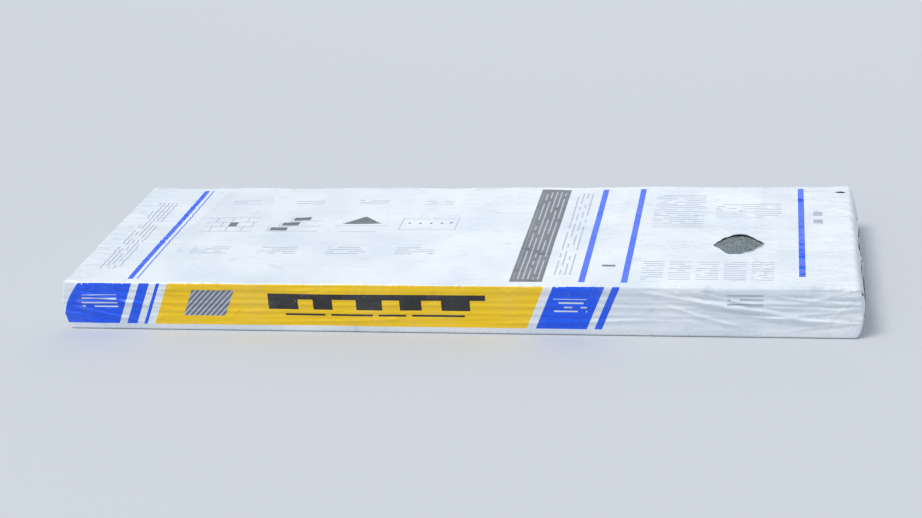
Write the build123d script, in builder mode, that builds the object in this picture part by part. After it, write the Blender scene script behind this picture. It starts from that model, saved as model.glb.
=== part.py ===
"""Bundle of laminated asphalt shingles in a folded, heat-tacked plastic film wrapper.

Millimetres. X runs along the shingles, Y across them, Z up. The origin is the centre of the
underside, where the bundle lies on the floor.
"""

from build123d import *
from math import cos, pi, radians, sin, tan
import os

# Shingle: a full-width top ply with teeth, laminated on a narrower backing ply
shingle_length = 1070.0
shingle_width = 368.0
ply_thickness = 2.5
ply_overlap = 20.0  # top ply bonded to the backing ply above the tooth roots
centre_channel = 8.0  # between the backing plies of two shingles packed head to butt
tooth_pattern = (150, 70, 95, 120, 130, 85, 110, 100, 140, 70)  # tooth, gap, tooth, gap
tooth_flare = 7.0  # each flank leans this much, so a gap is wider at the butt edge

# Stack: shingles lie granules up, each one turned end for end on the one below
pair_count = 9
layer_gap = 0.1
joggle_clearance = 3.0
stagger_turn = 137.5  # degrees from one shingle's offset to the next one's

# Film wrapper
film_thickness = 0.2
side_clearance = 1.0  # film to the shingle that stands out furthest
face_clearance = 0.2  # film to the top and bottom shingles
end_bulge = 8.0  # the slack film of the folded ends stands out this far
lap_width = 50.0
lap_end_margin = 12.0
flap_overlap = 22.0
flap_slant = 45.0

# Damage: a slit torn open in the top face, and holes where the end folds have parted
tear_length = 70.0
tear_width = 72.0
tear_bulge = 7.0  # sagitta of the tear's four curved sides
tear_to_end = 152.0
tear_to_edge = 139.0
slit_length = 16.0
slit_width = 3.0
slit_inset = 14.0  # hole's centre to the bundle's side and top

# Worked out from the sizes above
half_length = shingle_length / 2
half_width = shingle_width / 2
backing_width = (shingle_width - centre_channel) / 2
tooth_depth = backing_width - ply_overlap
backing_edge = -half_width + backing_width
joggle_run = centre_channel - joggle_clearance
stagger = joggle_clearance / 2  # the middle shingles lie this far off the centre line
pair_height = 3 * ply_thickness + 2 * layer_gap
stack_height = pair_count * pair_height - layer_gap
lap_thickness = film_thickness
lap_root = film_thickness / 2  # the lap strip's solid runs this far up into the film
cavity_bottom = lap_thickness + film_thickness
stack_bottom = cavity_bottom + face_clearance
cavity_height = stack_height + 2 * face_clearance
edge_radius = stagger + side_clearance + film_thickness
block_length = shingle_length + 2 * edge_radius
block_width = shingle_width + 2 * edge_radius
block_height = cavity_height + 2 * film_thickness
block_middle = lap_thickness + block_height / 2
bundle_top = lap_thickness + block_height
flap_reach = (block_height + flap_overlap) / 2
tear_x = half_length - tear_to_end
tear_y = -half_width + tear_to_edge


def gap_outlines(first_tooth):
    """Corner points of the open gaps between the teeth, butt edge first."""
    turned = tooth_pattern[first_tooth:] + tooth_pattern[:first_tooth]
    scale = shingle_length / sum(turned)
    butt, root = -half_width, -half_width + tooth_depth
    outlines = []
    x = -half_length
    for tooth, gap in zip(turned[0::2], turned[1::2]):
        left = x + tooth * scale
        right = left + gap * scale
        outlines.append(
            [
                (left - tooth_flare, butt),
                (right + tooth_flare, butt),
                (right - tooth_flare, root),
                (left + tooth_flare, root),
            ]
        )
        x = right
    return outlines


def laminated_shingle(name, frame, flexed, first_tooth):
    """One shingle on its own frame, butt edge towards the frame's -Y.

    A flexed shingle drops its headlap to the level of its backing ply, as the weight above
    presses it. A flat one carries its top ply level.
    """
    across = Plane(frame.origin, x_dir=frame.y_dir, z_dir=frame.x_dir)
    headlap_drop = ply_thickness if flexed else 0.0
    with BuildPart() as shingle:
        with BuildSketch(across):
            with BuildLine():
                Polyline(
                    (-half_width, 0),
                    (backing_edge, 0),
                    (backing_edge, ply_thickness),
                    (backing_edge + joggle_run, ply_thickness - headlap_drop),
                    (half_width, ply_thickness - headlap_drop),
                    (half_width, 2 * ply_thickness - headlap_drop),
                    (backing_edge + joggle_run, 2 * ply_thickness - headlap_drop),
                    (backing_edge, 2 * ply_thickness),
                    (-half_width, 2 * ply_thickness),
                    close=True,
                )
            make_face()
        extrude(amount=half_length, both=True)
        with BuildSketch(frame.offset(ply_thickness)):
            for outline in gap_outlines(first_tooth):
                with BuildLine():
                    Polyline(*outline, close=True)
                make_face()
        extrude(amount=ply_thickness, mode=Mode.SUBTRACT)
    shingle.part.label = name
    return shingle.part


def stacked_shingles():
    """The shingles from the bottom up, in pairs that nest butt over headlap."""
    pieces = []
    for index in range(2 * pair_count):
        pair, upper = divmod(index, 2)
        lift = ply_thickness + layer_gap if upper else 0.0
        offset_angle = radians(stagger_turn * index)
        offset = stagger * sin(pi * index / (2 * pair_count - 1))
        facing = -1 if upper else 1
        frame = Plane(
            origin=(
                offset * cos(offset_angle),
                offset * sin(offset_angle),
                stack_bottom + pair * pair_height + lift,
            ),
            x_dir=(facing, 0, 0),
            z_dir=(0, 0, 1),
        )
        first_tooth = 2 * (index % (len(tooth_pattern) // 2))
        name = f"shingle_{index + 1:02d}"
        pieces.append(laminated_shingle(name, frame, not upper, first_tooth))
    return pieces


def film_block(inset):
    """The pillow-ended block inside the film's outer face, shrunk by inset on every side."""
    reach = block_length / 2 - inset
    rise = block_height / 2 - inset
    lengthwise = Plane((0, 0, block_middle), x_dir=(1, 0, 0), z_dir=(0, -1, 0))
    with BuildPart() as block:
        with BuildSketch(lengthwise):
            with BuildLine():
                Line((-reach, -rise), (reach, -rise))
                ThreePointArc((reach, -rise), (reach + end_bulge, 0), (reach, rise))
                Line((reach, rise), (-reach, rise))
                ThreePointArc((-reach, rise), (-reach - end_bulge, 0), (-reach, -rise))
            make_face()
        extrude(amount=block_width / 2 - inset, both=True)
        fillet(block.edges(), edge_radius - inset)
    return block.part


def end_flap(sheets, base_z, tip_z):
    """The folded flaps of both ends between two heights, a number of sheets above the ends."""
    base_half = block_width / 2 - edge_radius
    tip_half = base_half - abs(tip_z - base_z) / tan(radians(flap_slant))
    with BuildPart() as flap:
        with BuildSketch(Plane.YZ):
            with BuildLine():
                Polyline(
                    (-base_half, base_z),
                    (base_half, base_z),
                    (tip_half, tip_z),
                    (-tip_half, tip_z),
                    close=True,
                )
            make_face()
        extrude(amount=block_length, both=True)
        add(film_block(-sheets * film_thickness), mode=Mode.INTERSECT)
    return flap.part


def film_wrapper():
    """The film: a closed sleeve with a lap seam below, folded flaps on the ends, and its holes."""
    with BuildPart() as wrapper:
        add(film_block(0))
        add(end_flap(1, bundle_top - edge_radius, bundle_top - flap_reach))
        add(end_flap(2, lap_thickness + edge_radius, lap_thickness + flap_reach))
        with BuildSketch(Plane.XY):
            Rectangle(block_length - 2 * lap_end_margin, lap_width)
        extrude(amount=lap_thickness + lap_root)
        add(film_block(film_thickness), mode=Mode.SUBTRACT)
        with BuildSketch(Plane.XY.offset(block_middle)):
            with BuildLine():
                corners = [
                    (tear_x - tear_length / 2, tear_y),
                    (tear_x, tear_y - tear_width / 2),
                    (tear_x + tear_length / 2, tear_y),
                    (tear_x, tear_y + tear_width / 2),
                ]
                for start, end in zip(corners, corners[1:] + corners[:1]):
                    SagittaArc(start, end, -tear_bulge)
            make_face()
        extrude(amount=block_height, mode=Mode.SUBTRACT)
        slit_y = block_width / 2 - slit_inset
        slit_z = bundle_top - slit_inset
        for side in (-1, 1):
            with BuildSketch(Plane.YZ):
                with Locations((side * slit_y, slit_z)):
                    SlotOverall(slit_length, slit_width, rotation=side * flap_slant)
            extrude(amount=block_length, both=True, mode=Mode.SUBTRACT)
    wrapper.part.label = "wrapper"
    return wrapper.part


os.makedirs("parts", exist_ok=True)
for piece in [*stacked_shingles(), film_wrapper()]:
    export_step(piece, f"parts/{piece.label}.step")
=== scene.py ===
"""Looks of a film-wrapped bundle of laminated asphalt shingles.

Metres, Z up. X runs along the bundle, -Y is the near long side, and the origin is the centre of
the underside. The film is described in its own coordinates: u along the bundle and q round its
girth, from the middle of the top face, positive down the near side.
"""

import functools
import math

import bmesh
import bpy
import numpy as np
from mathutils import Matrix, Vector
from mathutils.bvhtree import BVHTree


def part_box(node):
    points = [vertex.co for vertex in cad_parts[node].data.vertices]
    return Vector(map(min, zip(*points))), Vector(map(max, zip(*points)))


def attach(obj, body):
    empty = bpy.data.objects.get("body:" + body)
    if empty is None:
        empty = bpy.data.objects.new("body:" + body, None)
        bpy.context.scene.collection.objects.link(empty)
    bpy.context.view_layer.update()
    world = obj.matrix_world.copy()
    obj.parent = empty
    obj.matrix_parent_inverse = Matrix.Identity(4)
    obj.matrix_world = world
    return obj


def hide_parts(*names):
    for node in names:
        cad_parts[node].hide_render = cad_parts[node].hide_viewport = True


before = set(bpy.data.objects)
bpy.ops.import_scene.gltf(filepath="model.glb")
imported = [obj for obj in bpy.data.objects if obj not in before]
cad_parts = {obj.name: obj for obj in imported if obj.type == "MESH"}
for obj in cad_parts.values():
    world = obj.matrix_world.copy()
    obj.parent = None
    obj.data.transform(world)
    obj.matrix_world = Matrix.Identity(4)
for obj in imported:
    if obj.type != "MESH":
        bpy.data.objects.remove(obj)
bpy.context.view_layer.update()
shingles = [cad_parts[name] for name in sorted(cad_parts) if name != "wrapper"]

# Sizes of the film, from the frame where it has them
film_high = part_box("wrapper")[1]
half_width, height = film_high.y, film_high.z
end_bulge = 0.008
flap_sheets = 0.0004
reach = film_high.x - end_bulge - flap_sheets
corner_radius = 0.0036
end_radius = 0.005
lap_half = 0.025
lap_step = 0.00035
film_clearance = 0.0004
most_triangles = 195000

# The flaps of the folded ends, and where the lower ones are tacked to the upper ones
flap_reach = 0.046
flap_edge_gap = 0.005
flap_root = 0.0004
tack_places = (-0.118, -0.046, 0.039, 0.112)
tack_inset = 0.039
tack_radius = 0.007

# The hole torn in the top, and the small one by the far right corner
tear_centre, tear_half = (0.383, -0.045), (0.035, 0.036)
nick_centre, nick_half = (0.5235, 0.1575), (0.0085, 0.0022)
tear_seed, nick_seed = 60, 70

# Cells of the film's mesh, round the girth and along it, and those of its flaps and holes
girth_cells = {
    "floor_inner": 10,
    "corner_a": 4,
    "far_side": 44,
    "corner_b": 6,
    "top": 160,
    "corner_c": 6,
    "near_side": 50,
    "corner_d": 4,
    "floor_outer": 10,
}
length_cells = 520
round_cells = 6
cap_cells = 15
flap_cells = (120, 28)
rim_rings = 13
curl_rings = 4

hill_cells = 97  # the random hills repeat after this many cells


def smoothstep(value):
    """0 below 0, 1 above 1, and smooth in between."""
    t = np.clip(value, 0, 1)
    return t * t * (3 - 2 * t)


def blend(corner, right, up):
    """The value at shares right and up of the way between four corners."""
    low = corner(0, 0) * (1 - right) + corner(1, 0) * right
    high = corner(0, 1) * (1 - right) + corner(1, 1) * right
    return low * (1 - up) + high * up


def hills(x, y, cell, seed):
    """Smooth random hills between about -1 and 1, one random value to a cell."""
    table = np.random.default_rng(seed).uniform(-1, 1, (hill_cells, hill_cells))
    column, row = np.floor(x / cell).astype(int), np.floor(y / cell).astype(int)
    right, up = smoothstep(x / cell - column), smoothstep(y / cell - row)

    def corner(i, j):
        return table[(column + i) % hill_cells, (row + j) % hill_cells]

    return blend(corner, right, up)


def waves(x, cell, seed):
    """Smooth random hills along one line."""
    return hills(x, 0 * x, cell, seed)


def round_hills(angle, count, seed):
    """Smooth random hills along a closed ring, about count of them on the way round."""
    radius = count / (2 * math.pi)
    return hills(radius * np.cos(angle), radius * np.sin(angle), 1.0, seed)


def ridges(x, y, cell, seed):
    """Sharp crests that wander between smooth hollows, from about -1 to 1."""
    return 1 - 2 * np.abs(hills(x, y, cell, seed))


def crumples(x, y, cell, seed):
    """Crests and facets of crumpled film at two scales, about 1 high and 0 on the average."""
    bent_x = x + 0.5 * cell * hills(x, y, cell * 1.3, seed)
    bent_y = y + 0.5 * cell * hills(x, y, cell * 1.3, seed + 1)
    coarse, fine = ridges(bent_x, bent_y, cell, seed + 2), ridges(bent_x, bent_y, cell / 2, seed + 3)
    return 0.65 * coarse + 0.35 * fine - 0.35


def blurred(field, sigma_cells):
    """field smoothed with a Gaussian along each axis, its edge values carried outwards."""
    for axis, sigma in enumerate(sigma_cells):
        span = max(1, int(3 * sigma))
        weights = np.exp(-0.5 * (np.arange(-span, span + 1) / sigma) ** 2)
        weights /= weights.sum()
        field = np.apply_along_axis(
            lambda row: np.convolve(np.pad(row, span, mode="edge"), weights, "valid"), axis, field
        )
    return field


# The path of the film round the girth


def girth_path(inset, fold_radius):
    """y and z of the film's rows where the section is drawn in by inset.

    The lines and arcs come in the order of girth_cells.
    """
    radius = max(corner_radius - inset, fold_radius)
    side = half_width - inset
    flat = side - radius
    top, bottom = height - inset, inset
    low, high = bottom + radius, top - radius
    cells = iter(girth_cells.values())

    def line(start, end):
        t = np.linspace(0, 1, next(cells) + 1)
        return [start[i] + (end[i] - start[i]) * t for i in (0, 1)]

    def arc(centre, first_quarter):
        angle = math.pi / 2 * (first_quarter + np.linspace(0, 1, next(cells) + 1))
        return [centre[0] + radius * np.cos(angle), centre[1] + radius * np.sin(angle)]

    parts = [
        line((-lap_half, bottom), (flat, bottom)),
        arc((flat, low), 3),
        line((side, low), (side, high)),
        arc((flat, high), 0),
        line((flat, top), (-flat, top)),
        arc((-flat, high), 1),
        line((-side, high), (-side, low)),
        arc((-flat, low), 2),
        line((-flat, bottom), (lap_half, bottom)),
    ]
    y = np.concatenate([part[0][:-1] for part in parts] + [[lap_half]])
    z = np.concatenate([part[1][:-1] for part in parts] + [[bottom]])
    return y, z


# First and last row of each segment of the girth
span_ends = np.cumsum([0, *girth_cells.values()])
row_span = dict(zip(girth_cells, zip(span_ends, span_ends[1:])))

row_y, row_z = girth_path(0.0, corner_radius)
row_steps = np.hypot(np.diff(row_y), np.diff(row_z))
row_q = np.concatenate([[0], np.cumsum(row_steps)])
top_first, top_last = row_span["top"]
row_q -= (row_q[top_first] + row_q[top_last]) / 2
row_count = len(row_y)
side_q = row_q[row_span["near_side"][0]]
floor_q = row_q[row_span["floor_outer"][0]]

# Each row's outward direction, from the core that the corners are rounded about
core_y = np.clip(row_y, corner_radius - half_width, half_width - corner_radius)
core_z = np.clip(row_z, corner_radius, height - corner_radius)
row_normal = np.stack([row_y - core_y, row_z - core_z], 1)
row_normal /= np.linalg.norm(row_normal, axis=1)[:, None]

# The stations of the film along its length, from the left end's middle to the right end's

straight_half = reach - end_radius
round_length = end_radius * math.pi / 2
cap_length = height / 2 - end_radius
bulge_start, bulge_run = reach - 0.07, 0.065
round_steps = round_length * np.arange(1, round_cells + 1) / round_cells
cap_steps = round_length + cap_length * np.arange(1, cap_cells + 1) / cap_cells
end_u = straight_half + np.concatenate([round_steps, cap_steps])
straight_u = np.linspace(-straight_half, straight_half, length_cells + 1)
station_u = np.concatenate([-end_u[::-1], straight_u, end_u])
first_straight, last_straight = len(end_u), len(end_u) + length_cells

# The mitred corners of the ends, which stand open in slits
mitre_radius, slit_opening, least_radius = 0.0007, 0.0011, 0.00005
slit_start, slit_end = 0.0045, 0.0205


def end_profile(distance):
    """Inset, x and turn of the film at a distance past the start of an end's rounding."""
    turn = min(max(distance / end_radius, 0.0), math.pi / 2)
    inset = end_radius * (1 - math.cos(turn)) + max(0.0, distance - round_length)
    return inset, straight_half + min(distance, 0.0) + end_radius * math.sin(turn), turn


def bulge(x, z):
    """How far an end's slack film stands out at x, its distance from the middle, and height z."""
    bow = 1 - ((z - height / 2) / (height / 2)) ** 2
    return end_bulge * smoothstep((x - bulge_start) / bulge_run) * bow


def fold_radius_at(inset):
    """Radius left in the mitred corners of an end, which opens into a slit below the top."""
    open_share = min(max((inset - slit_start) / (slit_end - slit_start), 0.0), 1.0)
    radius = mitre_radius + slit_opening * math.sin(math.pi * open_share) ** 1.6
    return min(radius, height / 2 - inset + least_radius)


station_inset = np.zeros(len(station_u))
place = np.zeros((len(station_u), row_count, 3))
outward = np.zeros_like(place)
for k, u in enumerate(station_u):
    inset, x, turn = end_profile(abs(u) - straight_half)
    y, z = girth_path(inset, fold_radius_at(inset))
    end = math.copysign(1, u)
    station_inset[k] = inset
    place[k] = np.stack([end * (x + bulge(x, z)), y, z], 1)
    outward[k, :, 0] = end * math.sin(turn)
    outward[k, :, 1:] = math.cos(turn) * row_normal
u_grid, q_grid = np.meshgrid(station_u, row_q, indexing="ij")

# How the stack stands under the film


def stack_surface():
    """A search tree of every shingle's faces."""
    points, faces = [], []
    for shingle in shingles:
        faces += [[len(points) + i for i in face.vertices] for face in shingle.data.polygons]
        points += [vertex.co.copy() for vertex in shingle.data.vertices]
    return BVHTree.FromPolygons(points, faces)


stack = stack_surface()
deepest_hollow = 0.0035
ray_start = 0.01


def hollow_under(k, j):
    """How far the stack lies under the film's nominal place, at most the deepest hollow."""
    normal = Vector(outward[k, j])
    start = Vector(place[k, j]) + normal * ray_start
    hit = stack.ray_cast(start, -normal, ray_start + deepest_hollow)[0]
    return deepest_hollow if hit is None else (hit - start).length - ray_start


def least_nearby(field):
    """The least value of field among each point and its eight neighbours."""
    wide = np.pad(field, 1, mode="edge")
    long, deep = field.shape
    shifted = [wide[i : i + long, j : j + deep] for i in range(3) for j in range(3)]
    return np.minimum.reduce(shifted)


round_stations = range(first_straight - round_cells, last_straight + round_cells + 1)
wall_rows = range(row_span["corner_a"][0], row_span["corner_d"][1] + 1)
hollow = np.full(u_grid.shape, deepest_hollow)
hollow[np.ix_(round_stations, wall_rows)] = [
    [hollow_under(k, j) for j in wall_rows] for k in round_stations
]

# How the film follows the stack's hollows: the cells they are blurred over, the share left of
# them, and how far the film stands off
top_corners = (row_span["corner_b"], row_span["corner_c"])
relief = np.zeros(u_grid.shape)
for name, sigma, share, rise in (
    ("far_side", (5.5, 1.4), 0.8, 0.0018),
    ("near_side", (5.5, 1.4), 0.8, 0.0018),
    ("top", (5.0, 5.0), 0.42, 0.0006),
):
    first, last = row_span[name]
    wall = (slice(first_straight, last_straight + 1), slice(first, last + 1))
    relief[wall] = rise - share * blurred(hollow[wall], sigma)
for first, last in top_corners:
    round_corner = np.linspace(relief[:, first], relief[:, last], last - first + 1, axis=1)
    relief[:, first : last + 1] = round_corner
relief[:first_straight] = relief[first_straight]
relief[last_straight + 1 :] = relief[last_straight]

# Creases and waves of the film


def crease(u, q, start, end, width, rise, sway=0.0):
    """Height of one crease: a crest that dies out at both ends, with a trough on each side."""
    du, dq = end[0] - start[0], end[1] - start[1]
    length = math.hypot(du, dq)
    du, dq = du / length, dq / length
    along = ((u - start[0]) * du + (q - start[1]) * dq) / length
    across = (u - start[0]) * dq - (q - start[1]) * du
    across = across + sway * np.sin(math.pi * np.clip(along, 0, 1))
    flank = np.where(across > 0, 0.75, 1.25) * width
    away = np.abs(across) / flank
    live = np.clip(4 * along * (1 - along), 0, 1) ** 0.7
    crest = np.exp(-(away**1.25))
    trough = 0.34 * np.exp(-(((away - 2.4) / 1.2) ** 2))
    return rise * live * (crest - trough)


# The long slanting creases down a long side: where each starts and ends, along the bundle and
# down from the top edge, and its width and rise
slanting_creases = (
    ((0.255, 0.002), (0.470, 0.034), 0.0026, 0.0024),
    ((0.300, 0.003), (0.405, 0.030), 0.0020, 0.0018),
    ((0.325, 0.001), (0.440, 0.024), 0.0018, 0.0016),
    ((0.345, 0.014), (0.520, 0.047), 0.0026, 0.0021),
    ((0.290, 0.020), (0.395, 0.052), 0.0022, 0.0017),
    ((0.430, 0.008), (0.532, 0.016), 0.0020, 0.0017),
    ((0.385, 0.036), (0.530, 0.041), 0.0022, 0.0018),
    ((0.060, 0.050), (0.300, 0.040), 0.0022, 0.0012),
    ((-0.300, 0.052), (-0.060, 0.046), 0.0024, 0.0011),
    ((-0.520, 0.010), (-0.380, 0.034), 0.0022, 0.0018),
    ((-0.530, 0.030), (-0.420, 0.054), 0.0020, 0.0016),
    ((-0.470, 0.001), (-0.350, 0.014), 0.0018, 0.0012),
)
slanting_sway = 0.002


def tension_creases(side):
    """The slanting creases of one long side, turned end for end on the far one."""
    for start, end, width, rise in slanting_creases:
        ends = [(side * u, side * (side_q + drop)) for u, drop in (start, end)]
        yield *ends, width, rise, slanting_sway


def stroke(u, q, du, dq):
    """Start and end of a crease that reaches du and dq each way from u and q."""
    return (u - du, q - dq), (u + du, q + dq)


def random_form(rng, widths, rises, sway):
    """Width, rise and sway of one crease."""
    return rng.uniform(*widths), rng.uniform(*rises), rng.normal(0, sway)


def gathers(rng, count=60):
    """Creases that run in from the folded ends, on the top and both long sides."""
    for end in (-1, 1):
        for _ in range(count):
            start = (end * (reach + 0.004), rng.uniform(-floor_q + 0.012, floor_q - 0.012))
            length = 0.02 + rng.exponential(0.045)
            stop = (start[0] - end * length, start[1] + rng.normal(0, 0.012))
            form = random_form(rng, widths=(0.0014, 0.0028), rises=(0.0005, 0.0016), sway=0.002)
            yield start, stop, *form


def edge_puckers(rng, count=60):
    """Short creases across the two long top edges."""
    for side in (-1, 1):
        for _ in range(count):
            u = rng.uniform(-reach, reach)
            length = rng.uniform(0.012, 0.05)
            lean = rng.normal(0, 0.35)
            q = side * (side_q + rng.normal(-0.004, 0.006))
            ends = stroke(u, q, lean * length / 2, length / 2)
            form = random_form(rng, widths=(0.0012, 0.0024), rises=(0.0002, 0.0006), sway=0.001)
            yield *ends, *form


def loose_creases(rng, count=260):
    """Fine creases all over, in every direction, most of them nearly lengthwise."""
    for _ in range(count):
        u, q = rng.uniform(-reach, reach), rng.uniform(-floor_q, floor_q)
        turn = rng.normal(0, 0.7)
        length = rng.uniform(0.015, 0.07)
        ends = stroke(u, q, math.cos(turn) * length / 2, math.sin(turn) * length / 2)
        form = random_form(rng, widths=(0.0012, 0.0026), rises=(0.0002, 0.0007), sway=0.0015)
        yield *ends, *form


def tear_strains():
    """Creases that run out of the corners of the torn hole."""
    cx, cq = tear_centre[0], -tear_centre[1]
    right, left = cx + tear_half[0], cx - tear_half[0]
    yield (right - 0.004, cq), (right + 0.055, cq + 0.012), 0.0026, 0.0014, 0.001
    yield (right - 0.004, cq), (right + 0.035, cq - 0.014), 0.0020, 0.0009, 0.001
    yield (left + 0.004, cq), (left - 0.070, cq - 0.010), 0.0026, 0.0013, 0.002
    yield (left + 0.004, cq), (left - 0.045, cq + 0.014), 0.0022, 0.0009, 0.001
    yield (cx + 0.012, cq + 0.034), (cx + 0.040, cq + 0.075), 0.0024, 0.0008, 0.001
    yield (cx - 0.010, cq - 0.034), (cx - 0.030, cq - 0.070), 0.0024, 0.0008, 0.001


dice = np.random.default_rng(20)
all_creases = [
    *tension_creases(1),
    *tension_creases(-1),
    *gathers(dice),
    *edge_puckers(dice),
    *loose_creases(dice),
    *tear_strains(),
]

# How much slack the film has, everywhere and by its ends, its long edges and the tear, each with
# the distance over which that fades
plain_slack = 0.20
extra_slack = ((0.8, 0.045), (0.25, 0.010), (0.4, 0.025))


def looseness(u, q):
    """How slack the film is at points u, q, from 0 to 1."""
    from_end = np.clip(reach - np.abs(u), 0, None)
    from_edge = np.abs(np.abs(q) - side_q)
    from_tear = np.clip(np.hypot(u - tear_centre[0], q + tear_centre[1]) - tear_half[0], 0, None)
    total = plain_slack
    for distance, (slack, fade) in zip((from_end, from_edge, from_tear), extra_slack):
        total = total + slack * np.exp(-distance / fade)
    return np.clip(total, 0, 1)


def film_height(u, q):
    """Waves, crumples and creases of the film at points u, q, without the stack's relief."""
    on_side = smoothstep((np.abs(q) - side_q) / 0.012)
    near_edge = np.exp(-np.abs(np.abs(q) - side_q) / 0.012)
    broad_waves = 0.0005 * hills(u, q, 0.11, 1) + 0.0003 * hills(u, q, 0.045, 2)
    side_waves = 0.0011 * on_side * hills(u * 0.55, q, 0.05, 4)
    top_rise = 0.0006 * (1 - on_side)
    edge_waves = 0.0008 * near_edge * waves(u, 0.06, 3)
    crumpled = 0.0010 * looseness(u, q) * crumples(u * 0.38, q, 0.014, 6)
    total = broad_waves + (side_waves + top_rise) + edge_waves + crumpled
    for start, end, width, rise, sway in all_creases:
        low = np.minimum(start, end) - 6 * width - abs(sway)
        high = np.maximum(start, end) + 6 * width + abs(sway)
        near = (u > low[0]) & (u < high[0]) & (q > low[1]) & (q < high[1])
        if near.any():
            total[near] += crease(u[near], q[near], start, end, width, rise, sway)
    return total


def end_creases(end, count=34):
    """The creases of one folded end, as starts and ends in y and z, widths and rises."""
    rng = np.random.default_rng(30 + end)
    for _ in range(count):
        middle, length = rng.uniform(-0.178, 0.178), rng.uniform(0.014, 0.042)
        slant, downwards = rng.normal(0, 0.6), rng.random() < 0.55
        edge = height - 0.003 if downwards else 0.003
        tip = edge - length if downwards else edge + length
        width, rise = rng.uniform(0.0012, 0.0026), rng.uniform(0.0004, 0.0014)
        yield (middle, edge), (middle + slant * length, tip), width, rise


def end_waves(y, z, end):
    """How far the film of an end stands off its pillow shape."""
    seed = 50 + 10 * end
    total = 0.0013 * hills(y, z, 0.026, seed) + 0.0010 * crumples(y, z * 1.2, 0.015, seed + 1)
    for start, stop, width, rise in end_creases(end):
        total = total + crease(y, z, start, stop, width, rise)
    return total


def end_share(inset):
    """How far the waves of the long faces have given way to those of a folded end."""
    return smoothstep((inset - 0.3 * end_radius) / 0.008)


waves_fade = 0.022
off_floor = smoothstep((floor_q - np.abs(row_q)) / waves_fade)
open_lift = (film_height(u_grid, q_grid) + relief) * off_floor
lift = open_lift.copy()
for end, span in ((-1, slice(0, first_straight)), (1, slice(last_straight + 1, None))):
    share = end_share(station_inset[span])[:, None]
    end_lift = end_waves(place[span, :, 1], place[span, :, 2], end)
    lift[span] = open_lift[span] * (1 - share) + end_lift * share
lift = np.maximum(lift, film_clearance - least_nearby(hollow))
gap_under = lift + hollow
film_points = place + outward * lift[..., None]

# Under the bundle the film lies nearly flat, its inner edge on the outer one along the lap
under_run, under_rise = 0.012, 0.0001
lap_run, lap_wander = 0.01, 0.0016
under = smoothstep((np.abs(row_q) - floor_q) / under_run)
film_points[..., 2] += under_rise * under * (1 + hills(u_grid, q_grid, 0.012, 11))
on_lap = smoothstep((lap_half + lap_run - row_y) / lap_run)
inner_floor = np.arange(row_count) <= row_span["floor_inner"][1]
film_points[..., 2] += inner_floor * on_lap * lap_step
along_lap = slice(first_straight, last_straight)
film_points[along_lap, -1, 1] += lap_wander * waves(station_u[along_lap], 0.04, 12)

# Holes in the top of the film


def hole_outline(angle, half, seed):
    """Distance from a hole's middle to its edge: an eye, pointed to the left and right."""
    across, deep = np.abs(np.cos(angle)), np.abs(np.sin(angle))
    bend = half[1] * across**2 / half[0] ** 2
    eye = 2 * half[1] / (deep + np.sqrt(deep**2 + 4 * half[1] * bend))
    ragged = round_hills(angle, 19, seed) + 0.6 * round_hills(angle, 57, seed + 1)
    return eye * (1 + 0.022 * ragged)


def grid_value(field, u, q):
    """A field of the film's grid at film coordinates u, q."""
    k = np.clip(np.interp(u, station_u, np.arange(len(station_u))), 0, len(station_u) - 1.001)
    j = np.clip(np.interp(q, row_q, np.arange(row_count)), 0, row_count - 1.001)
    k0, j0 = k.astype(int), j.astype(int)
    return blend(lambda right, up: field[k0 + right, j0 + up], k - k0, j - j0)


class Sheet:
    """Points, film coordinates, states and faces of the film's mesh as it grows.

    A point's state is the gap between the film and the stack, and how slack the film is.
    """

    def __init__(self):
        self.points, self.film, self.state, self.faces, self.count = [], [], [], [], 0

    def add_points(self, points, u, q, gap=None):
        """Adds points, and returns their numbers in the mesh."""
        numbers = self.count + np.arange(u.size).reshape(u.shape)
        gap = np.full(u.shape, deepest_hollow) if gap is None else gap
        slack = looseness(u, q)
        self.points.append(points.reshape(-1, 3))
        self.film.append(np.stack([u.ravel(), q.ravel()], 1))
        self.state.append(np.stack([gap.ravel() / deepest_hollow, slack.ravel()], 1))
        self.count += u.size
        return numbers

    def add_cells(self, numbers, keep=None, flip=False):
        """Adds a four-cornered face for each cell of a grid of point numbers."""
        a, b = numbers[:-1, :-1], numbers[1:, :-1]
        c, d = numbers[1:, 1:], numbers[:-1, 1:]
        cells = np.stack([d, c, b, a] if flip else [a, b, c, d], -1)
        self.faces.append(cells[keep] if keep is not None else cells.reshape(-1, 4))


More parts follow.
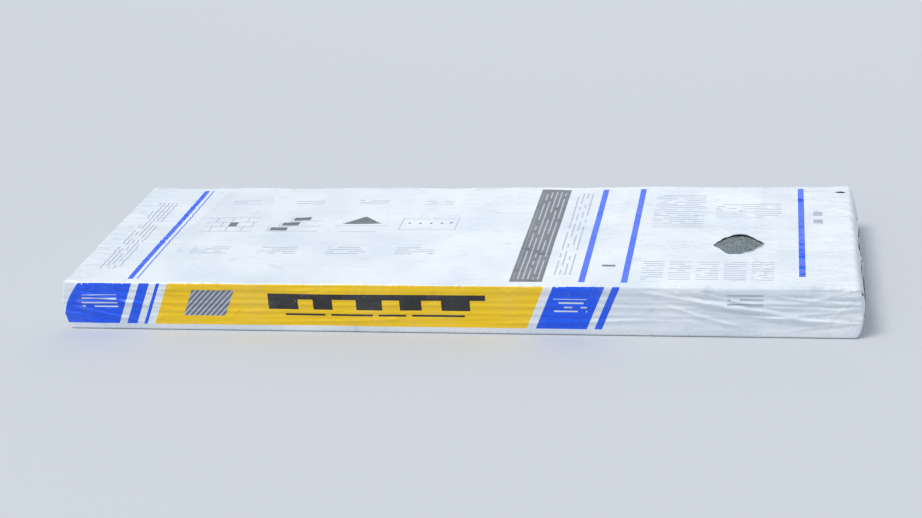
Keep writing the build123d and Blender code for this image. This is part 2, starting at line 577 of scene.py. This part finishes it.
def lined_hole(sheet, grid, keep, centre, half, margin, curl, seed):
    """Cuts an eye-shaped hole in the top, with a rim of rings whose inner edge curls up."""
    # The square of cells that gives way to the hole and its rim, and the points round it
    cu, cq = centre[0], -centre[1]
    k0, k1 = np.searchsorted(station_u, (cu - half[0] - margin, cu + half[0] + margin))
    j0, j1 = np.searchsorted(row_q, (cq - half[1] - margin, cq + half[1] + margin))
    keep[k0:k1, j0:j1] = False
    long, deep = k1 - k0, j1 - j0
    k = np.r_[k0:k1, [k1] * deep, k1:k0:-1, [k0] * deep]
    j = np.r_[[j0] * long, j0:j1, [j1] * long, j1:j0:-1]
    numbers, bu, bq = grid[k, j], station_u[k], row_q[j]
    angle = np.arctan2(bq - cq, bu - cu)
    for tip in (0.0, math.pi):
        nearest = np.argmin(np.abs(np.angle(np.exp(1j * (angle - tip)))))
        angle[nearest] = tip

    # The rim, in rings from the hole's edge to those points
    radius = hole_outline(angle, half, seed)
    away_u, away_q = np.cos(angle), np.sin(angle)
    hu, hq = cu + radius * away_u, cq + radius * away_q
    ring_share = (np.arange(rim_rings) / rim_rings)[:, None] ** 1.7
    ru, rq = hu + (bu - hu) * ring_share, hq + (bq - hq) * ring_share
    from_edge = np.hypot(ru - hu, rq - hq)
    loose = 0.55 + 0.45 * round_hills(angle, 14, seed + 2)
    rise = curl * (0.4 + 1.5 * loose) * np.exp(-from_edge / (5 * curl))
    fade = 1 - smoothstep(from_edge / np.hypot(bu - hu, bq - hq))
    rz = height + grid_value(lift, ru, rq) + rise * fade
    rim = np.stack([ru, -rq, rz], -1)

    # The curled edge, in rings from its lip to the hole's edge
    turn = (np.arange(curl_rings, 0, -1) / curl_rings)[:, None] * (0.9 + 1.6 * loose)
    size = curl * (0.35 + 0.65 * loose)
    over, up = size * np.sin(turn), size * (1 - np.cos(turn))
    curled = np.stack([hu - over * away_u, -(hq - over * away_q), rz[0] + up], -1)
    points = np.concatenate([curled, rim])
    pu = np.concatenate([hu - turn * size * away_u, ru])
    pq = np.concatenate([hq - turn * size * away_q, rq])
    gap = np.full(points.shape[:2], deepest_hollow)
    gap[curl_rings:] = grid_value(gap_under, ru, rq) + rise * fade
    rings = sheet.add_points(points, pu, pq, gap)
    rings = np.concatenate([rings, numbers[None]])
    sheet.add_cells(np.concatenate([rings, rings[:, :1]], 1), flip=True)


def flap_gap(y, inset, end, layer):
    """How far a flap stands off the film under it, less where it is tacked down."""
    puff = 0.5 + 0.5 * hills(y, inset, 0.030, 70 + 4 * layer + end)
    gap = 0.0003 + 0.0008 * puff
    if layer == 2:
        for tack_y in tack_places:
            away = np.hypot(y - tack_y, inset - tack_inset)
            gap = gap * (1 - 0.8 * np.exp(-((away / tack_radius) ** 2)))
    return gap


def end_fold(sheet, end, layer):
    """One flap of a folded end: it comes round the top or bottom edge and lies on the end."""
    upper = layer == 1
    seed = 40 + 2 * (end > 0) + upper
    start, whole = 0.55 * round_length, round_length + flap_reach - end_radius
    distance = np.linspace(start, whole, flap_cells[1] + 1)
    inset, x, turn = np.array([end_profile(d) for d in distance]).T[..., None]
    side = np.linspace(-1, 1, flap_cells[0] + 1)[None]
    y = side * (half_width - flap_edge_gap - inset)
    distance = np.broadcast_to(distance[:, None], y.shape)

    # The flap's ragged tip, and its film coordinates
    tip = smoothstep((inset - 0.7 * flap_reach) / (0.3 * flap_reach))
    ragged = 0.0018 * waves(y, 0.05, seed) + 0.0008 * waves(y, 0.014, seed + 4)
    inset = inset + tip * ragged
    z = height - inset if upper else inset
    u = end * (straight_half + distance)
    q = -y if upper else floor_q + half_width + y

    # How far it stands off: over the film and the other flap, at its sides and at its lip
    closed = 1 - 0.5 * smoothstep((np.abs(side) - 0.90) / 0.10)
    gap = flap_gap(y, height - z, end, 1)
    if upper:
        gap = gap * closed
    else:
        over_other = smoothstep((z - height + flap_reach + 0.006) / 0.008)
        gap = gap * (0.3 + 0.7 * over_other) + flap_gap(y, z, end, 2) * closed
    open_lip = tip * (0.0004 + 0.0016 * np.clip(waves(y, 0.06, seed + 8), 0, 1))
    rim = 0.0002 * smoothstep((np.abs(side) - 0.955) / 0.045)
    out = smoothstep((distance - start) / 0.006)

    # The film under it, whose waves give way to those of the end
    drawn_in = np.maximum(corner_radius, inset + 0.0015)
    narrowing = (half_width - corner_radius) / (half_width - drawn_in)
    before = grid_value(open_lift, u, q * narrowing) if upper else 0.0
    share = end_share(inset)
    film_under = before * (1 - share) + end_waves(y, z, end) * share
    away = film_under + out * (gap + rim + open_lip) - (1 - out) * flap_root
    x = end * (x + bulge(x, z) + np.sin(turn) * away)
    z = z + np.cos(turn) * away * (1 if upper else -1)
    numbers = sheet.add_points(np.stack([x, y, z], -1), u, q)
    sheet.add_cells(numbers, flip=(end > 0) != upper)


sheet = Sheet()
grid = sheet.add_points(film_points, u_grid, q_grid, gap_under)
keep = np.ones((len(station_u) - 1, row_count - 1), bool)
lined_hole(sheet, grid, keep, tear_centre, tear_half, margin=0.024, curl=0.0012, seed=tear_seed)
lined_hole(sheet, grid, keep, nick_centre, nick_half, margin=0.0045, curl=0.0004, seed=nick_seed)
opened = (station_inset >= slit_start) & (station_inset <= slit_end)
for first, last in top_corners:
    keep[np.ix_(opened[:-1] & opened[1:], range(first, last))] = False
sheet.add_cells(grid, keep, flip=True)
for end in (-1, 1):
    for layer in (1, 2):
        end_fold(sheet, end, layer)


def placed(name, data):
    """A new object in the scene, for a mesh, a lamp or a camera."""
    piece = bpy.data.objects.new(name, data)
    bpy.context.scene.collection.objects.link(piece)
    return piece


def corner_points(mesh):
    """The number of the point at each face corner."""
    numbers = np.zeros(len(mesh.loops), np.int64)
    mesh.loops.foreach_get("vertex_index", numbers)
    return numbers


def add_uv_map(mesh, name, values):
    """Adds a UV map with a pair of values for each point."""
    layer = mesh.uv_layers.new(name=name)
    layer.data.foreach_set("uv", values[corner_points(mesh)].astype(np.float32).ravel())


def true_film_map(mesh):
    """Works out the straight part's film map afresh, as thinning blurs it."""
    corners = corner_points(mesh)
    places = np.zeros(len(mesh.vertices) * 3)
    mesh.vertices.foreach_get("co", places)
    x, y, z = places.reshape(-1, 3)[corners].T
    kept = np.zeros(len(corners) * 2)
    layer = mesh.uv_layers["film"]
    layer.data.foreach_get("uv", kept)
    flat, flat_z = half_width - corner_radius, height - corner_radius
    turn = np.arctan2(np.clip(np.abs(y) - flat, 0, None), np.clip(z - flat_z, 1e-9, None))
    round_girth = np.minimum(np.abs(y), flat) + corner_radius * turn + np.clip(flat_z - z, 0, None)
    along = x - np.sign(x) * bulge(np.abs(x), z)
    fresh = np.stack([along, -np.sign(y) * round_girth], 1)
    straight = (np.abs(along) < straight_half) & (z > corner_radius)
    mixed = np.where(straight[:, None], fresh, kept.reshape(-1, 2))
    layer.data.foreach_set("uv", mixed.astype(np.float32).ravel())


def thinned(piece, triangles):
    """The piece's mesh with flat stretches merged, down to a number of triangles."""
    now = sum(len(face.vertices) - 2 for face in piece.data.polygons)
    modifier = piece.modifiers.new("thinned", "DECIMATE")
    modifier.ratio = min(1.0, triangles / now)
    evaluated = piece.evaluated_get(bpy.context.evaluated_depsgraph_get())
    mesh = bpy.data.meshes.new_from_object(evaluated)
    piece.modifiers.clear()
    piece.data = mesh
    return mesh


def build_mesh(name, sheet):
    """A mesh object of the sheet, smooth, with its film coordinates and states as UV maps."""
    faces = np.concatenate(sheet.faces)
    used, numbered = np.unique(faces, return_inverse=True)
    mesh = bpy.data.meshes.new(name)
    points = np.concatenate(sheet.points)[used]
    mesh.from_pydata(points.tolist(), [], numbered.reshape(faces.shape).tolist())
    add_uv_map(mesh, "film", np.concatenate(sheet.film)[used])
    add_uv_map(mesh, "state", np.concatenate(sheet.state)[used])
    piece = placed(name, mesh)
    mesh = thinned(piece, most_triangles)
    true_film_map(mesh)
    mesh.polygons.foreach_set("use_smooth", np.ones(len(mesh.polygons), bool))
    mesh.update()
    return piece


film = build_mesh("film_wrapper", sheet)
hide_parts("wrapper")
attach(film, "root")

# Granules of the top shingle that the tear lays bare

granule_pitch = 0.00115
granule_sizes = (0.00042, 0.00082)
granule_flatness = 0.72
granule_margin = 0.0015  # they reach this far under the film's edge


def granule_field():
    """A mesh of the mineral granules inside the tear, each a small irregular stone."""
    rng = np.random.default_rng(80)
    span = max(tear_half) + 0.004
    steps = np.arange(-span, span, granule_pitch)
    places = np.meshgrid(steps, steps)
    du, dy = (axis.ravel() + granule_pitch * rng.uniform(-0.5, 0.5, axis.size) for axis in places)
    edge = hole_outline(np.arctan2(-dy, du), tear_half, tear_seed) + granule_margin
    inside = np.hypot(du, dy) < edge
    du, dy = du[inside], dy[inside]
    stone = bmesh.new()
    bmesh.ops.create_icosphere(stone, subdivisions=1, radius=1.0)
    corners = np.array([vertex.co[:] for vertex in stone.verts])
    sides = np.array([[vertex.index for vertex in face.verts] for face in stone.faces])
    stone.free()
    count = len(du)
    turn = rng.uniform(0, 2 * math.pi, count)[:, None]
    size = rng.uniform(*granule_sizes, (count, 3)) * (1, 1, granule_flatness)
    dents = 1 + rng.uniform(-0.22, 0.22, (count, len(corners), 1))
    shaped = corners[None] * dents * size[:, None]
    x = shaped[..., 0] * np.cos(turn) - shaped[..., 1] * np.sin(turn)
    y = shaped[..., 0] * np.sin(turn) + shaped[..., 1] * np.cos(turn)
    x, y = x + tear_centre[0] + du[:, None], y + tear_centre[1] + dy[:, None]
    z = shaped[..., 2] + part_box(shingles[-1].name)[1].z
    points = np.stack([x, y, z], -1)
    faces = sides[None] + (np.arange(count) * len(corners))[:, None, None]
    mesh = bpy.data.meshes.new("bared_granules")
    mesh.from_pydata(points.reshape(-1, 3).tolist(), [], faces.reshape(-1, 3).tolist())
    add_uv_map(mesh, "pick", np.repeat(rng.random((count, 2)), len(corners), axis=0))
    return placed("bared_granules", mesh)


granules = granule_field()
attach(granules, "root")

# Materials


class Nodes:
    """Short calls that add shader nodes to one material or world."""

    def __init__(self, owner):
        owner.use_nodes = True
        self.owner, self.tree = owner, owner.node_tree

    def join(self, value, socket):
        """Links value to socket if it is a node's output, and otherwise sets it there."""
        if isinstance(value, bpy.types.NodeSocket):
            self.tree.links.new(value, socket)
        else:
            socket.default_value = value

    def add(self, kind, inputs, **settings):
        """Adds a node with its settings, and joins the values of inputs to its sockets."""
        node = self.tree.nodes.new("ShaderNode" + kind)
        for name, setting in settings.items():
            setattr(node, name, setting)
        for key, value in inputs.items():
            self.join(value, node.inputs[key])
        return node

    def surface(self, values):
        """Gives the material's shader its values, and returns the material."""
        for name, value in values.items():
            self.join(value, self.tree.nodes["Principled BSDF"].inputs[name])
        return self.owner

    def math(self, operation, *values):
        return self.add("Math", dict(enumerate(values)), operation=operation).outputs[0]

    def within(self, value, low, high):
        """1 where value lies between low and high."""
        return self.math("COMPARE", value, (low + high) / 2, (high - low) / 2)

    def stripes(self, along, pitch, ink):
        """1 over the first share of every pitch, and 0 over the rest."""
        return self.math("LESS_THAN", self.math("FRACT", self.math("DIVIDE", along, pitch)), ink)

    def both(self, *masks):
        """1 where every mask is 1."""
        return functools.reduce(functools.partial(self.math, "MULTIPLY"), masks)

    def either(self, *masks):
        """1 where any mask is 1."""
        return functools.reduce(functools.partial(self.math, "MAXIMUM"), masks)

    def mix(self, share, first, second):
        """A blend of two colours, which are the node's sockets 6 and 7."""
        return self.add("Mix", {"Factor": share, 6: first, 7: second}, data_type="RGBA").outputs[2]

    def remap(self, *value_from_to):
        """A value carried from one range to another: the value, then both ranges."""
        return self.add("MapRange", dict(enumerate(value_from_to))).outputs[0]

    def vector(self, *parts):
        return self.add("CombineXYZ", dict(enumerate(parts))).outputs[0]

    def parts(self, vector):
        return self.add("SeparateXYZ", {0: vector}).outputs

    def noise(self, vector, scale, detail=2.0, roughness=0.5):
        inputs = {"Vector": vector, "Scale": scale, "Detail": detail, "Roughness": roughness}
        return self.add("TexNoise", inputs).outputs["Fac"]

    def cells(self, vector, scale, feature="F1"):
        """Random cells: their colours, and the distance from their middles or edges."""
        return self.add("TexVoronoi", {"Vector": vector, "Scale": scale}, feature=feature).outputs

    def warped(self, vector, scale, amount):
        """The vector shifted by a smooth random field."""
        shift = self.add("TexNoise", {"Vector": vector, "Scale": scale}).outputs["Color"]
        inputs = {0: shift, 1: (amount, amount, amount), 2: vector}
        return self.add("VectorMath", inputs, operation="MULTIPLY_ADD").outputs[0]

    def ramp(self, share, stops):
        """Colours at shares from 0 to 1, each held to the next."""
        node = self.add("ValToRGB", {0: share})
        node.color_ramp.interpolation = "CONSTANT"
        bands = node.color_ramp.elements
        while len(bands) < len(stops):
            bands.new(0.5)
        for band, (position, colour) in zip(bands, stops):
            band.position, band.color = position, colour
        return node.outputs[0]

    def bump(self, height, strength, distance, **under):
        """A bumped normal, over the one given as Normal if there is one."""
        inputs = {"Height": height, "Strength": strength, "Distance": distance, **under}
        return self.add("Bump", inputs).outputs[0]


def srgb(red, green, blue):
    """A colour given from 0 to 255 a channel, as linear light."""
    channels = (c / 255 for c in (red, green, blue))
    return (*(c / 12.92 if c <= 0.04045 else ((c + 0.055) / 1.055) ** 2.4 for c in channels), 1.0)


film_white = srgb(238, 241, 245)
film_gray = srgb(224, 230, 238)
under_film = srgb(126, 132, 140)
print_yellow = srgb(255, 207, 0)
print_blue = srgb(0, 88, 240)
print_gray = srgb(98, 102, 108)
print_dark = srgb(36, 34, 38)
print_pale = srgb(178, 184, 198)
scuff = srgb(150, 152, 156)
rubbed_edge, rubbed_fade = 0.004, (0.001, 0.006)  # wear of the print by the long top edges
grime_fade = (0.001, 0.016)  # grime low down on the sides
seal_band, seal_end, seal_pitch = (0.014, 0.004), 0.006, 0.0024  # the ribs of the lap's seal

# The print is laid out in boxes: a span along the bundle, and a band down from the top edge on a
# side, or across the top
side_band, side_lean = (-0.0032, 0.0572), -0.42
yellow_span = (-0.386, 0.134)
blue_spans = ((-0.516, -0.438), (-0.427, -0.412), (-0.402, -0.397), (0.146, 0.214), (0.224, 0.234))
panel = ((-0.352, -0.292), (0.006, 0.044))
hatch_pitch = 0.0075
outline_start, outline_length = -0.245, 0.300
outline_band, tooth_band = (0.0105, 0.0185), (0.0185, 0.0335)
outline_teeth = (0.14, 0.07, 0.09, 0.11, 0.12, 0.08, 0.10, 0.09, 0.13, 0.07)  # tooth, gap
dash_spans = ((-0.222, -0.166), (-0.158, -0.100), (-0.092, -0.054), (-0.046, 0.026))
dash_band = (0.0395, 0.0425)
small_in_blue = (((0.146, 0.190), (0.0140, 0.0330)), ((-0.508, -0.462), (0.0140, 0.0330)))
small_on_white = ((0.372, 0.418), (0.0060, 0.0245))

top_band = (-0.174, 0.174)
rule_spans = ((-0.448, -0.440), (-0.4345, -0.4325), (0.178, 0.1865), (0.234, 0.2425))
end_rule = ((0.463, 0.4715), (-0.150, 0.174))
gray_band = ((0.086, 0.130), top_band)
small_in_gray = ((0.090, 0.126), (-0.165, 0.165))
small_across = (((0.140, 0.166), (-0.15, 0.16)), ((-0.505, -0.470), (-0.14, 0.12)))
small_along = (((0.260, 0.332), (0.020, 0.150)), ((0.348, 0.440), (0.060, 0.118)))
column_spans = ((0.258, 0.287), (0.294, 0.323), (0.330, 0.359), (0.366, 0.395), (0.402, 0.431))
squares = (((0.484, 0.497), (0.035, 0.050)), ((0.484, 0.497), (0.066, 0.081)))
single_dash = ((0.204, 0.222), (-0.120, -0.114))
diagram_middles = (-0.36, -0.26, -0.16, -0.06)
pen = 0.0015


def drawn(n, u, v, boxes, lean=0.0):
    """1 inside any of the printed boxes, whose short sides may lean."""
    masks = []
    for span, band in boxes:
        along = u
        if lean:
            along = n.math("SUBTRACT", u, n.math("MULTIPLY", n.math("SUBTRACT", v, band[0]), lean))
        masks.append(n.both(n.within(along, *span), n.within(v, *band)))
    return n.either(*masks)


def ruled_lines(n, along, across, pitch, ink, word):
    """Broken thin lines of even height, which stand where small print would."""
    row = n.math("FLOOR", n.math("DIVIDE", across, pitch))
    shifted = n.math("ADD", n.math("DIVIDE", along, word), n.math("MULTIPLY", row, 0.37))
    place = n.vector(n.math("FLOOR", shifted), row, 0.0)
    draw = n.add("TexWhiteNoise", {"Vector": place}, noise_dimensions="2D").outputs["Value"]
    return n.both(n.stripes(across, pitch, ink), n.math("GREATER_THAN", draw, 0.2))


def side_print(n, u, drop):
    """The band printed on a long side: (mask, colour) pairs, each laid over those before."""
    mask = functools.partial(drawn, n, u, drop)
    outline = [((outline_start, outline_start + outline_length), outline_band)]
    left = outline_start
    for tooth, gap in zip(outline_teeth[0::2], outline_teeth[1::2]):
        outline.append(((left, left + outline_length * tooth), tooth_band))
        left += outline_length * (tooth + gap)
    dashes = [(span, dash_band) for span in dash_spans]
    inside_panel = mask([panel], side_lean)
    hatch = n.stripes(n.math("ADD", u, drop), hatch_pitch, 0.45)
    small = ruled_lines(n, u, drop, 0.0062, 0.38, 0.011)
    return (
        (mask([(yellow_span, side_band)], side_lean), print_yellow),
        (mask([(span, side_band) for span in blue_spans], side_lean), print_blue),
        (mask([*outline, *dashes]), print_dark),
        (inside_panel, print_pale),
        (n.both(inside_panel, hatch), print_gray),
        (n.both(small, mask(small_in_blue)), film_gray),
        (n.both(small, mask([small_on_white])), print_pale),
    )


def diagrams():
    """The boxes of the laying diagrams on the top: thin lines, and filled shapes."""
    lines, fills = [], []

    def level(left, right, low):
        lines.append(((left, right), (low, low + pen)))

    def upright(left, low, high):
        lines.append(((left, left + pen), (low, high)))

    # Rows of shingles with staggered joints
    for row in range(4):
        low = 0.002 + 0.018 * row
        level(-0.402, -0.322, low)
        for joint in (-0.388, -0.364, -0.340) if row < 3 else ():
            upright(joint + 0.012 * (row % 2), low, low + 0.018)
    fills.append(((-0.364, -0.352), (0.0215, 0.038)))

    # Three stepped starts
    for step in range(3):
        left, low = -0.300 + 0.013 * step, 0.002 + 0.020 * step
        level(left, -0.222, low)
        upright(left, low, low + 0.020)
        fills.append(((left + 0.004, left + 0.030), (low + 0.004, low + 0.017)))

    # The lines below a gable
    level(-0.202, -0.122, 0.024)
    level(-0.190, -0.134, 0.002)

    # One shingle with its nails
    for left in (-0.104, -0.0215):
        upright(left, 0.010, 0.056)
    for low in (0.010, 0.0545):
        level(-0.104, -0.020, low)
    nails = (-0.094, -0.078, -0.062, -0.046, -0.032)
    fills += [((left, left + 0.004), (0.036, 0.040)) for left in nails]
    return lines, fills


def top_print(n, u, y):
    """The print on the top face, as (mask, colour) pairs."""
    mask = functools.partial(drawn, n, u, y)
    lines, fills = diagrams()
    slope = n.math("SUBTRACT", 0.062, y)
    gable = n.math("LESS_THAN", n.math("ABSOLUTE", n.math("ADD", u, 0.162)), slope)
    gable = n.both(gable, n.within(y, 0.032, 0.060))
    captions = [((m - 0.030, m + 0.026), (-0.082, -0.056)) for m in diagram_middles]
    captions += [((m - 0.026, m + 0.020), (0.112, 0.130)) for m in diagram_middles]
    captions += [(span, (-0.164, -0.100)) for span in column_spans]
    across = ruled_lines(n, y, u, 0.0068, 0.30, 0.013)
    along = ruled_lines(n, u, y, 0.0074, 0.30, 0.011)
    return (
        (mask(lines), print_pale),
        (n.either(mask([*fills, single_dash]), gable), print_gray),
        (n.both(along, mask([*captions, *small_along])), print_pale),
        (n.both(across, mask(small_across)), print_pale),
        (mask([*((span, top_band) for span in rule_spans), end_rule]), print_blue),
        (mask([gray_band]), print_gray),
        (n.both(across, mask([small_in_gray])), print_pale),
        (mask(squares), print_pale),
    )


def film_colour(n, on_film, u, q, gap):
    """White with the print, wear and dirt, and grayer where the film rests on the shingles."""
    from_middle = n.math("ABSOLUTE", q)
    drop = n.math("SUBTRACT", from_middle, side_q)
    far = n.math("LESS_THAN", q, 0.0)
    along_side = n.math("MULTIPLY", u, n.math("SUBTRACT", 1.0, n.math("MULTIPLY", far, 2.0)))
    printed = (*side_print(n, along_side, drop), *top_print(n, u, n.math("MULTIPLY", q, -1.0)))
    colour = n.mix(n.remap(n.noise(on_film, 9.0, 3.0), 0.4, 0.65, 0.0, 1.0), film_white, film_gray)
    from_edge = n.math("ABSOLUTE", n.math("ADD", drop, rubbed_edge))
    lasting = n.remap(from_edge, *rubbed_fade, 0.62, 0.74)
    kept = n.math("LESS_THAN", n.noise(on_film, 260.0, 3.0, 0.65), lasting)
    for mask, ink in printed:
        colour = n.mix(n.both(mask, kept), colour, ink)
    faded = n.remap(n.noise(on_film, 16.0, 4.0, 0.6), 0.45, 0.75, 0.0, 0.05)
    colour = n.mix(faded, colour, film_white)
    resting = n.remap(gap, 0.08, 0.42, 0.22, 0.0)
    colour = n.mix(resting, colour, n.mix(0.55, colour, under_film))
    dirt = n.remap(n.noise(on_film, 34.0, 5.0, 0.6), 0.60, 0.82, 0.0, 0.35)
    colour = n.mix(dirt, colour, scuff)
    from_floor_edge = n.math("ABSOLUTE", n.math("SUBTRACT", from_middle, floor_q))
    low_down = n.remap(from_floor_edge, *grime_fade, 1.0, 0.12)
    grime = n.remap(n.noise(on_film, 210.0, 6.0, 0.7), 0.50, 0.78, 0.0, 0.5)
    return n.mix(n.both(low_down, grime), colour, scuff)


def film_normal(n, on_film, u, q, slack):
    """Crumples, folds and crinkles, from coarse to fine, and the ribs of the lap's seal."""
    facets = n.cells(n.warped(on_film, 45.0, 0.016), 75.0)["Distance"]
    crumpled = n.bump(facets, n.remap(slack, 0.1, 1.0, 0.08, 0.30), 0.0018)
    drawn_out = n.vector(n.math("MULTIPLY", u, 0.62), q, 0.0)
    edges = n.cells(n.warped(drawn_out, 22.0, 0.02), 30.0, "DISTANCE_TO_EDGE")["Distance"]
    live = n.remap(n.noise(on_film, 33.0, 2.0), 0.44, 0.60, 0.0, 1.0)
    fold = n.both(n.remap(edges, 0.0, 0.11, 1.0, 0.0), live)
    folds = n.bump(fold, n.remap(slack, 0.1, 0.8, 0.40, 0.90), 0.0006, Normal=crumpled)
    crinkle = n.bump(n.noise(on_film, 85.0, 3.0, 0.5), 0.20, 0.0010, Normal=folds)
    fine = n.bump(n.noise(on_film, 420.0, 2.0, 0.5), 0.35, 0.00012, Normal=crinkle)
    sealed = n.within(q, *(row_q[-1] - from_lip for from_lip in seal_band))
    below = n.math("LESS_THAN", n.math("ABSOLUTE", u), reach - seal_end)
    ribs = n.math("SINE", n.math("MULTIPLY", u, 2 * math.pi / seal_pitch))
    return n.bump(n.both(sealed, below, ribs), 0.35, 0.0003, Normal=fine)


def film_material():
    """White printed film, a little scuffed and finely crinkled."""
    n = Nodes(bpy.data.materials.new("printed_film"))
    on_film = n.add("UVMap", {}, uv_map="film").outputs[0]
    u, q, _ = n.parts(on_film)
    gap, slack, _ = n.parts(n.add("UVMap", {}, uv_map="state").outputs[0])
    return n.surface({
        "Base Color": film_colour(n, on_film, u, q, gap),
        "Roughness": n.remap(n.noise(on_film, 22.0, 3.0), 0.3, 0.7, 0.17, 0.30),
        "Normal": film_normal(n, on_film, u, q, slack),
    })


stone_colours = (
    (0.00, srgb(74, 79, 82)),
    (0.12, srgb(120, 131, 135)),
    (0.34, srgb(150, 164, 168)),
    (0.56, srgb(172, 184, 190)),
    (0.76, srgb(136, 146, 148)),
    (0.88, srgb(198, 206, 208)),
    (0.96, srgb(162, 154, 140)),
)


def granule_material():
    """Fired mineral granules, one colour to a stone, a little speckled."""
    n = Nodes(bpy.data.materials.new("mineral_granules"))
    pick, shade, _ = n.parts(n.add("UVMap", {}, uv_map="pick").outputs[0])
    speckle = n.noise(n.add("TexCoord", {}).outputs["Object"], 5200.0, 2.0)
    specks = n.remap(speckle, 0.35, 0.65, 0.0, 0.35)
    return n.surface({
        "Base Color": n.mix(specks, n.ramp(pick, stone_colours), srgb(84, 88, 90)),
        "Roughness": n.remap(shade, 0.0, 1.0, 0.55, 0.85),
        "Normal": n.bump(speckle, 0.5, 0.0002),
    })


def shingle_material():
    """Gray mineral granules above, black asphalt at the cut edges, and fine sand below."""
    n = Nodes(bpy.data.materials.new("granulated_asphalt"))
    where = n.add("TexCoord", {}).outputs["Object"]
    up = n.parts(n.add("NewGeometry", {}).outputs["Normal"])[2]
    grain = n.cells(where, 620.0)
    pick = n.parts(grain["Color"])[0]
    between = n.remap(grain["Distance"], 0.42, 0.72, 0.0, 1.0)
    stone = n.mix(between, n.ramp(pick, stone_colours), srgb(40, 40, 40))
    asphalt = n.mix(n.math("GREATER_THAN", pick, 0.72), srgb(30, 29, 28), srgb(96, 98, 97))
    sand = n.mix(n.noise(where, 900.0, 2.0), srgb(44, 44, 44), srgb(96, 96, 94))
    colour = n.mix(n.math("GREATER_THAN", up, 0.4), asphalt, stone)
    return n.surface({
        "Base Color": n.mix(n.math("LESS_THAN", up, -0.4), colour, sand),
        "Roughness": n.remap(pick, 0.0, 1.0, 0.72, 0.92),
        "Normal": n.bump(n.math("SUBTRACT", 1.0, grain["Distance"]), 0.9, 0.0011),
    })


film.data.materials.append(film_material())
granules.data.materials.append(granule_material())
granulated = shingle_material()
for shingle in shingles:
    shingle.data.materials.clear()
    shingle.data.materials.append(granulated)

# Floor, light and camera

floor_size, floor_drop = 50.0, 0.0002
bpy.ops.mesh.primitive_plane_add(size=floor_size, location=(0, 0, -floor_drop))
floor = bpy.context.object
floor_paint = Nodes(bpy.data.materials.new("pale_floor"))
floor_look = {"Base Color": srgb(206, 208, 211), "Roughness": 0.85}
floor.data.materials.append(floor_paint.surface(floor_look))

studio = Nodes(bpy.data.worlds.new("studio"))
sky = studio.tree.nodes["Background"]
studio.join(srgb(225, 237, 250), sky.inputs["Color"])
studio.join(0.66, sky.inputs["Strength"])
horizon = studio.add("Background", {"Color": srgb(206, 212, 219)})
rays = studio.add("LightPath", {}).outputs
seen = studio.either(*(rays[f"Is {kind} Ray"] for kind in ("Camera", "Glossy", "Transmission")))
surroundings = studio.add("MixShader", {0: seen, 1: sky.outputs[0], 2: horizon.outputs[0]})
studio.join(surroundings.outputs[0], studio.tree.nodes["World Output"].inputs["Surface"])
bpy.context.scene.world = studio.owner


def lamp(name, kind, at, power, colour):
    """A lamp at a place, aimed at the bundle."""
    light = bpy.data.lights.new(name, kind)
    light.energy, light.color = power, colour
    holder = placed(name, light)
    holder.location = at
    holder.rotation_mode = "QUATERNION"
    holder.rotation_quaternion = (-Vector(at)).to_track_quat("-Z", "Y")
    return light


lamp("daylight", "SUN", (-1.3, -0.9, 3.2), 1.66, (1.0, 0.99, 0.97)).angle = math.radians(24)
for name, at, power, colour, size in (
    ("front_fill", (-1.6, -2.6, 1.5), 6.0, (0.86, 0.94, 1.0), (1.6, 1.2)),
    ("back_glow", (0.5, 3.2, 1.6), 5.0, (1.0, 1.0, 1.0), (3.0, 0.9)),
):
    softbox = lamp(name, "AREA", at, power, colour)
    softbox.shape = "RECTANGLE"
    softbox.size, softbox.size_y = size

camera_place = Vector((0.442, -2.197, 0.959))
camera_target = Vector((-0.012, 0.0, 0.030))
camera_lens = 66.0
camera_roll = math.radians(-4.2)
camera = placed("camera", bpy.data.cameras.new("camera"))
camera.data.lens = camera_lens
camera.data.sensor_width = 36.0
camera.location = camera_place
aim = (camera_target - camera_place).to_track_quat("-Z", "Y").to_matrix()
camera.rotation_euler = (aim @ Matrix.Rotation(camera_roll, 3, "Z")).to_euler()
bpy.context.scene.camera = camera
bpy.context.scene.view_settings.view_transform = "Standard"
